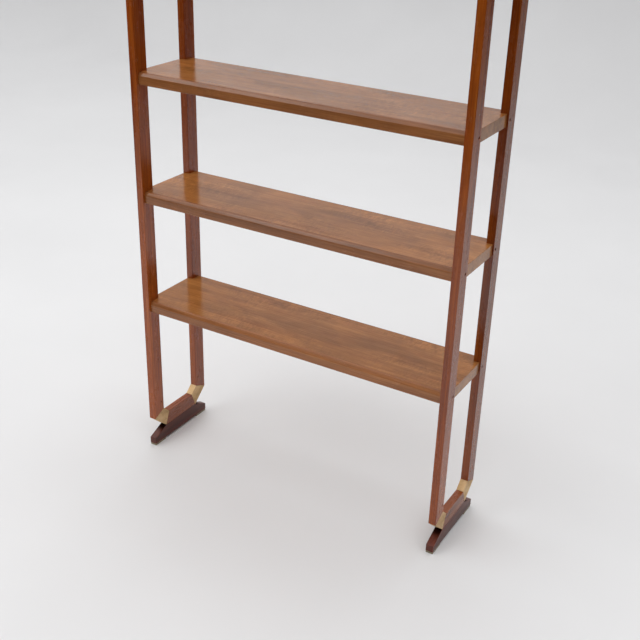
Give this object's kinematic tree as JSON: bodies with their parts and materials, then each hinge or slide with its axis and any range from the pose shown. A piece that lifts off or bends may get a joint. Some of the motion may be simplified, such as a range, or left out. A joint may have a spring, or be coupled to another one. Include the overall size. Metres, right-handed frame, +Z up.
{
  "type": "ladder shelf",
  "caption": "Tall shallow open shelf unit: full-width wooden shelves notched through two ladder-like side frames with brass corner elbows, on dark tapered feet.",
  "frame": {"origin": "on the floor, at the centre of the footprint", "axes": "+X to the right seen from the front, along the shelves; +Y from the front to the rear; +Z up"},
  "size_m": [0.94, 0.246, 1.8394],
  "materials": {
    "post_wood": "satin lacquered reddish-brown hardwood, grain along the piece",
    "shelf_wood": "satin lacquered mid-brown mahogany-like veneer, grain along the shelf",
    "lip_wood": "satin lacquered solid lipping, grain along the shelf",
    "foot_wood": "dark stained rosewood-like hardwood, satin",
    "brass": "brushed, slightly dull brass",
    "screw_steel": "dark steel",
    "pad_felt": "dense brown-grey felt"
  },
  "bodies": {
    "root": {"left_foot_beam": "foot_wood", "left_foot_screw": "screw_steel", "left_front_lower_elbow": "brass", "left_front_lower_pin": "brass", "left_front_pad": "pad_felt", "left_front_post": "post_wood", "left_front_upper_elbow": "brass", "left_front_upper_pin": "brass", "left_lower_crossbar": "post_wood", "left_rear_lower_elbow": "brass", "left_rear_lower_pin": "brass", "left_rear_pad": "pad_felt", "left_rear_post": "post_wood", "left_rear_upper_elbow": "brass", "left_rear_upper_pin": "brass", "left_upper_crossbar": "post_wood", "right_foot_beam": "foot_wood", "right_foot_screw": "screw_steel", "right_front_lower_elbow": "brass", "right_front_lower_pin": "brass", "right_front_pad": "pad_felt", "right_front_post": "post_wood", "right_front_upper_elbow": "brass", "right_front_upper_pin": "brass", "right_lower_crossbar": "post_wood", "right_rear_lower_elbow": "brass", "right_rear_lower_pin": "brass", "right_rear_pad": "pad_felt", "right_rear_post": "post_wood", "right_rear_upper_elbow": "brass", "right_rear_upper_pin": "brass", "right_upper_crossbar": "post_wood", "shelf_1_board": "shelf_wood", "shelf_1_front_lip": "lip_wood", "shelf_1_left_front_screw": "screw_steel", "shelf_1_left_rear_screw": "screw_steel", "shelf_1_rear_lip": "lip_wood", "shelf_1_right_front_screw": "screw_steel", "shelf_1_right_rear_screw": "screw_steel", "shelf_2_board": "shelf_wood", "shelf_2_front_lip": "lip_wood", "shelf_2_left_front_screw": "screw_steel", "shelf_2_left_rear_screw": "screw_steel", "shelf_2_rear_lip": "lip_wood", "shelf_2_right_front_screw": "screw_steel", "shelf_2_right_rear_screw": "screw_steel", "shelf_3_board": "shelf_wood", "shelf_3_front_lip": "lip_wood", "shelf_3_left_front_screw": "screw_steel", "shelf_3_left_rear_screw": "screw_steel", "shelf_3_rear_lip": "lip_wood", "shelf_3_right_front_screw": "screw_steel", "shelf_3_right_rear_screw": "screw_steel", "shelf_4_board": "shelf_wood", "shelf_4_front_lip": "lip_wood", "shelf_4_left_front_screw": "screw_steel", "shelf_4_left_rear_screw": "screw_steel", "shelf_4_rear_lip": "lip_wood", "shelf_4_right_front_screw": "screw_steel", "shelf_4_right_rear_screw": "screw_steel"}
  },
  "joints": []
}
